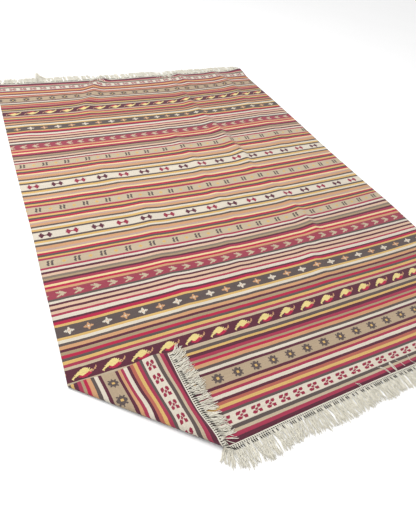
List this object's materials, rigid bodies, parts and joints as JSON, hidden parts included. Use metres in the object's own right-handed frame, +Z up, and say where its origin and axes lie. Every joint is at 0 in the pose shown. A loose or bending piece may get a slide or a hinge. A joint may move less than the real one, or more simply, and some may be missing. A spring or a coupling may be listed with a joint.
{
  "type": "kilim rug",
  "caption": "Flat-woven kilim rug with striped and patterned bands and knotted fringes at both ends, lying flat with one corner turned over.",
  "frame": {"origin": "on the floor, under the middle of the rug's bounding box with its fringes", "axes": "+X across the rug towards the right selvedge, +Y along it towards the far end, +Z up"},
  "size_m": [1.7229, 2.5974, 0.0289],
  "materials": {
    "wool": "flat-woven wool, matt, in stripes of about fifteen colours",
    "warp": "twisted undyed yarn, matt"
  },
  "bodies": {
    "root": {"rug": "wool", "fringe_near": "warp", "fringe_far": "warp"}
  },
  "joints": []
}
